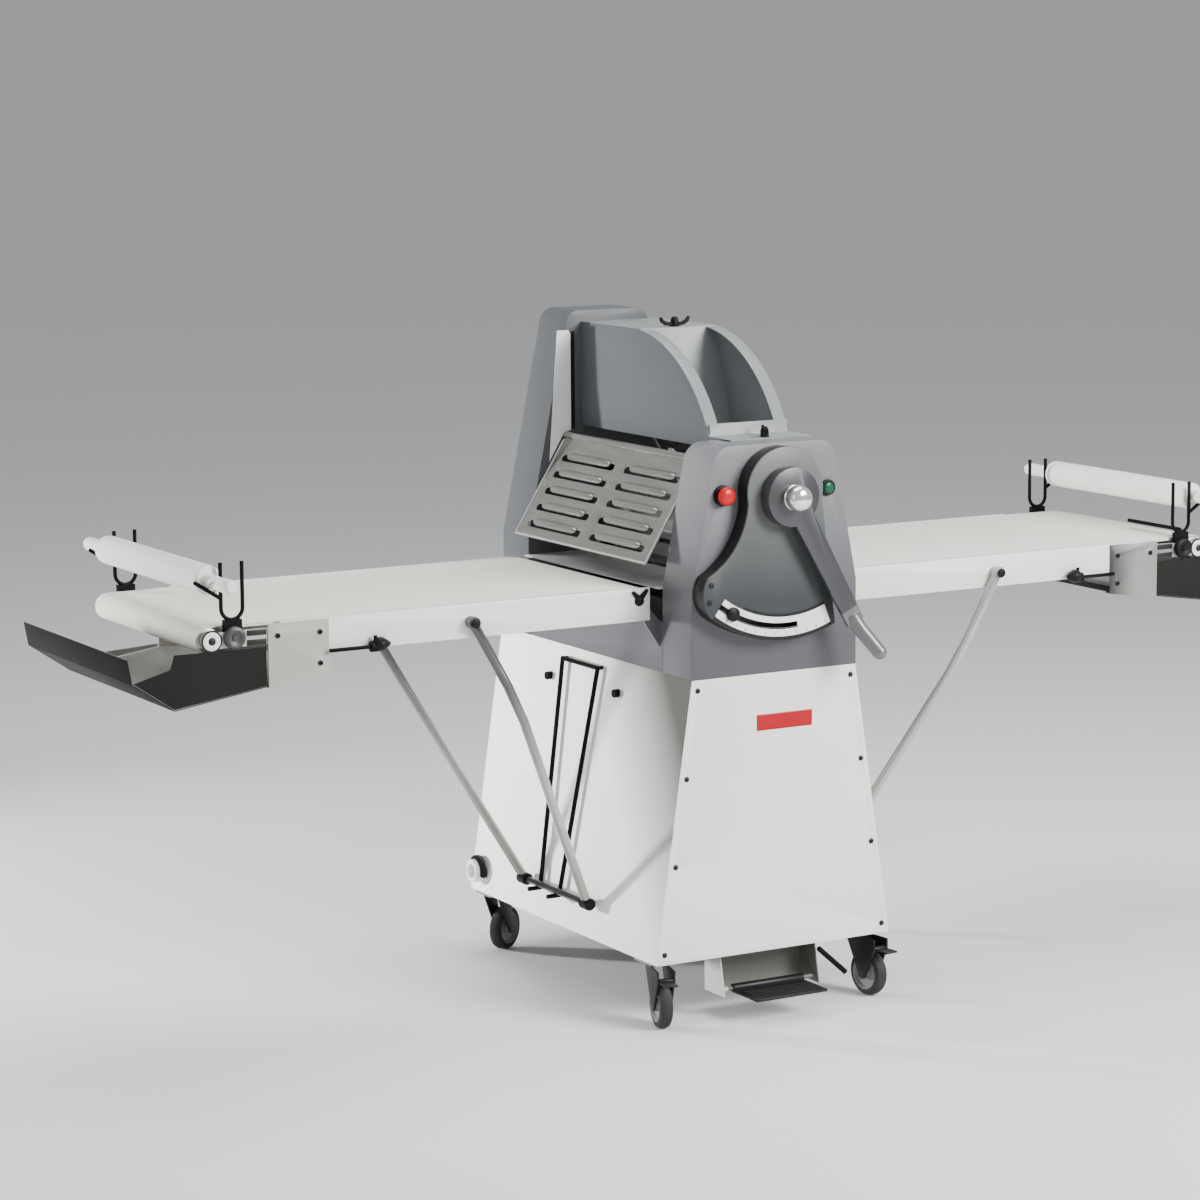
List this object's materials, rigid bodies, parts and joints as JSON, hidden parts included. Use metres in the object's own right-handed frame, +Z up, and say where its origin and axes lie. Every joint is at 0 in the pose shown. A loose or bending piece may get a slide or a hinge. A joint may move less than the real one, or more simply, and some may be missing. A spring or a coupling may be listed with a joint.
{
  "type": "dough sheeter",
  "caption": "Floor-standing reversible dough sheeter: roll head with gap lever and guards, folding belt tables with trays and pins, on a braked caster cabinet with foot pedal.",
  "frame": {"origin": "on the floor, at the middle of the machine's footprint", "axes": "+X along the tables to the operator's right, +Y from the operator to the back, +Z up"},
  "size_m": [2.804, 0.9619, 1.456],
  "materials": {
    "cabinet_white": "satin",
    "head_grey": "satin",
    "frame_steel": "satin",
    "screw_black": "satin",
    "wire_black": "gloss",
    "caster_black": "satin",
    "wheel_rubber": "matte",
    "stainless": "brushed",
    "bright_metal": "polished",
    "roll_metal": "polished",
    "alloy": "satin",
    "knob_black": "satin",
    "red_plastic": "gloss",
    "green_plastic": "gloss",
    "belt_cream": "matte",
    "vee_rubber": "matte",
    "tray_grey": "satin",
    "bracket_grey": "satin",
    "pin_white": "satin",
    "strut_grey": "satin",
    "motor_grey": "satin",
    "inlet_plastic": "gloss"
  },
  "bodies": {
    "machine": {"base_frame": "frame_steel", "base_front_panel": "cabinet_white", "base_back_panel": "cabinet_white", "base_side_panels": "cabinet_white", "panel_screws": "screw_black", "pedal_bracket": "bracket_grey", "power_inlet": "inlet_plastic", "strut_rails": "wire_black", "head_bed": "head_grey", "front_housing": "head_grey", "rear_housing": "head_grey", "dial_box": "head_grey", "button_bezels": "knob_black", "flour_bin": "head_grey", "wing_screws": "knob_black", "roll_bearings": "alloy", "motor": "motor_grey", "drive_belt": "vee_rubber", "transfer_plates": "stainless"},
    "gap_lever": {"gap_lever": "alloy", "lever_cap": "bright_metal"},
    "pedal": {"pedal": "knob_black"},
    "stop_knob": {"stop_knob": "knob_black"},
    "estop_button": {"estop_button": "red_plastic"},
    "start_button": {"start_button": "green_plastic"},
    "lower_roll": {"lower_roll": "roll_metal"},
    "upper_roll": {"upper_roll": "roll_metal"},
    "roll_carrier": {"roll_carrier": "stainless"},
    "motor_pulley": {"motor_pulley": "alloy"},
    "brake_lever_fl": {"brake_lever_fl": "caster_black"},
    "brake_lever_fr": {"brake_lever_fr": "caster_black"},
    "caster_fork_fl": {"caster_fork_fl": "caster_black"},
    "caster_wheel_fl": {"caster_wheel_fl": "wheel_rubber"},
    "caster_fork_fr": {"caster_fork_fr": "caster_black"},
    "caster_wheel_fr": {"caster_wheel_fr": "wheel_rubber"},
    "caster_fork_bl": {"caster_fork_bl": "caster_black"},
    "caster_wheel_bl": {"caster_wheel_bl": "wheel_rubber"},
    "caster_fork_br": {"caster_fork_br": "caster_black"},
    "caster_wheel_br": {"caster_wheel_br": "wheel_rubber"},
    "left_table": {"left_table_frame": "cabinet_white", "left_belt": "belt_cream", "left_end_brackets": "bracket_grey", "left_pin_forks": "wire_black"},
    "left_guard": {"left_guard": "stainless"},
    "left_inner_roller": {"left_inner_roller": "alloy"},
    "left_end_roller": {"left_end_roller": "alloy"},
    "left_tray": {"left_tray": "tray_grey"},
    "left_rolling_pin": {"left_rolling_pin": "pin_white"},
    "left_strut_frame": {"left_strut_frame": "strut_grey"},
    "right_table": {"right_table_frame": "cabinet_white", "right_belt": "belt_cream", "right_end_brackets": "bracket_grey", "right_pin_forks": "wire_black"},
    "right_guard": {"right_guard": "stainless"},
    "right_inner_roller": {"right_inner_roller": "alloy"},
    "right_end_roller": {"right_end_roller": "alloy"},
    "right_tray": {"right_tray": "tray_grey"},
    "right_rolling_pin": {"right_rolling_pin": "pin_white"},
    "right_strut_frame": {"right_strut_frame": "strut_grey"}
  },
  "joints": [
    {"name": "caster_swivel_fl", "type": "hinge", "parent": "machine", "child": "caster_fork_fl", "pos_m": [-0.255, -0.297, 0.141], "axis": [0, 0, 1], "continuous": true},
    {"name": "caster_roll_fl", "type": "hinge", "parent": "caster_fork_fl", "child": "caster_wheel_fl", "pos_m": [-0.26328, -0.32791, 0.05], "axis": [0.9659, -0.2588, 0], "continuous": true},
    {"name": "brake_press_fl", "type": "hinge", "parent": "caster_fork_fl", "child": "brake_lever_fl", "pos_m": [-0.27208, -0.36075, 0.108], "axis": [0.9659, -0.2588, 0], "range_deg": [0, 15]},
    {"name": "caster_swivel_fr", "type": "hinge", "parent": "machine", "child": "caster_fork_fr", "pos_m": [0.255, -0.297, 0.141], "axis": [0, 0, 1], "continuous": true},
    {"name": "caster_roll_fr", "type": "hinge", "parent": "caster_fork_fr", "child": "caster_wheel_fr", "pos_m": [0.25834, -0.32882, 0.05], "axis": [0.9945, 0.1045, 0], "continuous": true},
    {"name": "brake_press_fr", "type": "hinge", "parent": "caster_fork_fr", "child": "brake_lever_fr", "pos_m": [0.2619, -0.36264, 0.108], "axis": [0.9945, 0.1045, 0], "range_deg": [0, 15]},
    {"name": "caster_swivel_bl", "type": "hinge", "parent": "machine", "child": "caster_fork_bl", "pos_m": [-0.255, 0.418, 0.141], "axis": [0, 0, 1], "continuous": true},
    {"name": "caster_roll_bl", "type": "hinge", "parent": "caster_fork_bl", "child": "caster_wheel_bl", "pos_m": [-0.22729, 0.434, 0.05], "axis": [-0.5, 0.866, 0], "continuous": true},
    {"name": "caster_swivel_br", "type": "hinge", "parent": "machine", "child": "caster_fork_br", "pos_m": [0.255, 0.418, 0.141], "axis": [0, 0, 1], "continuous": true},
    {"name": "caster_roll_br", "type": "hinge", "parent": "caster_fork_br", "child": "caster_wheel_br", "pos_m": [0.22729, 0.434, 0.05], "axis": [-0.5, -0.866, 0], "continuous": true},
    {"name": "pedal_press", "type": "hinge", "parent": "machine", "child": "pedal", "pos_m": [0, -0.327, 0.061], "axis": [1, 0, 0], "range_deg": [0, 10], "stiffness_Nm_per_rad": 15, "springref_deg": -5.73},
    {"name": "gap_lever_turn", "type": "hinge", "parent": "machine", "child": "gap_lever", "pos_m": [0, -0.357, 1.114], "axis": [0, 1, 0], "range_deg": [0, 55]},
    {"name": "stop_knob_travel", "type": "hinge", "parent": "machine", "child": "stop_knob", "pos_m": [0, -0.357, 1.114], "axis": [0, 1, 0], "range_deg": [-33, 5.5]},
    {"name": "upper_roll_lower", "type": "slide", "parent": "machine", "child": "roll_carrier", "axis": [0, 0, -1], "range_m": [0, 0.0396]},
    {"name": "lower_roll_spin", "type": "hinge", "parent": "machine", "child": "lower_roll", "pos_m": [0, 0, 0.876], "axis": [0, 1, 0], "continuous": true},
    {"name": "upper_roll_spin", "type": "hinge", "parent": "roll_carrier", "child": "upper_roll", "pos_m": [0, 0, 1], "axis": [0, 1, 0], "continuous": true},
    {"name": "motor_spin", "type": "hinge", "parent": "machine", "child": "motor_pulley", "pos_m": [0, 0, 0.247], "axis": [0, 1, 0], "continuous": true},
    {"name": "estop_press", "type": "slide", "parent": "machine", "child": "estop_button", "axis": [0, 1, 0], "range_m": [0, 0.006], "stiffness_N_per_m": 600},
    {"name": "start_press", "type": "slide", "parent": "machine", "child": "start_button", "axis": [0, 1, 0], "range_m": [0, 0.003], "stiffness_N_per_m": 600},
    {"name": "left_guard_lift", "type": "hinge", "parent": "machine", "child": "left_guard", "pos_m": [-0.109, 0, 1.18], "axis": [0, 1, 0], "range_deg": [0, 80]},
    {"name": "left_table_fold", "type": "hinge", "parent": "machine", "child": "left_table", "pos_m": [-0.255, 0, 0.8927], "axis": [0, 1, 0], "range_deg": [0, 60]},
    {"name": "left_strut_swing", "type": "hinge", "parent": "left_table", "child": "left_strut_frame", "pos_m": [-0.653, 0, 0.883], "axis": [0, 1, 0], "range_deg": [-48, 0]},
    {"name": "left_inner_roller_spin", "type": "hinge", "parent": "left_table", "child": "left_inner_roller", "pos_m": [-0.255, 0, 0.8927], "axis": [0, 1, 0], "continuous": true},
    {"name": "left_end_roller_spin", "type": "hinge", "parent": "left_table", "child": "left_end_roller", "pos_m": [-1.223, 0, 0.8927], "axis": [0, 1, 0], "continuous": true},
    {"name": "left_tray_pull", "type": "slide", "parent": "left_table", "child": "left_tray", "axis": [-1, 0, 0], "range_m": [0, 0.15]},
    {"name": "left_pin_lift", "type": "slide", "parent": "left_table", "child": "left_rolling_pin", "axis": [0, 0, 1], "range_m": [0, 0.15]},
    {"name": "right_guard_lift", "type": "hinge", "parent": "machine", "child": "right_guard", "pos_m": [0.109, 0, 1.18], "axis": [0, -1, 0], "range_deg": [0, 80]},
    {"name": "right_table_fold", "type": "hinge", "parent": "machine", "child": "right_table", "pos_m": [0.255, 0, 0.8927], "axis": [0, -1, 0], "range_deg": [0, 60]},
    {"name": "right_strut_swing", "type": "hinge", "parent": "right_table", "child": "right_strut_frame", "pos_m": [0.653, 0, 0.883], "axis": [0, -1, 0], "range_deg": [-48, 0]},
    {"name": "right_inner_roller_spin", "type": "hinge", "parent": "right_table", "child": "right_inner_roller", "pos_m": [0.255, 0, 0.8927], "axis": [0, 1, 0], "continuous": true},
    {"name": "right_end_roller_spin", "type": "hinge", "parent": "right_table", "child": "right_end_roller", "pos_m": [1.223, 0, 0.8927], "axis": [0, 1, 0], "continuous": true},
    {"name": "right_tray_pull", "type": "slide", "parent": "right_table", "child": "right_tray", "axis": [1, 0, 0], "range_m": [0, 0.15]},
    {"name": "right_pin_lift", "type": "slide", "parent": "right_table", "child": "right_rolling_pin", "axis": [0, 0, 1], "range_m": [0, 0.15]}
  ],
  "couplings": [
    {"joint": "upper_roll_lower", "follows": "gap_lever_turn", "m_per_rad": 0.041149},
    {"joint": "upper_roll_spin", "follows": "lower_roll_spin", "ratio": -1},
    {"joint": "motor_spin", "follows": "lower_roll_spin", "ratio": 1.5556},
    {"joint": "left_strut_swing", "follows": "left_table_fold", "ratio": -0.795},
    {"joint": "left_inner_roller_spin", "follows": "lower_roll_spin", "ratio": 1.5385},
    {"joint": "left_end_roller_spin", "follows": "lower_roll_spin", "ratio": 1.5385},
    {"joint": "right_strut_swing", "follows": "right_table_fold", "ratio": -0.795},
    {"joint": "right_inner_roller_spin", "follows": "lower_roll_spin", "ratio": 1.5385},
    {"joint": "right_end_roller_spin", "follows": "lower_roll_spin", "ratio": 1.5385}
  ]
}
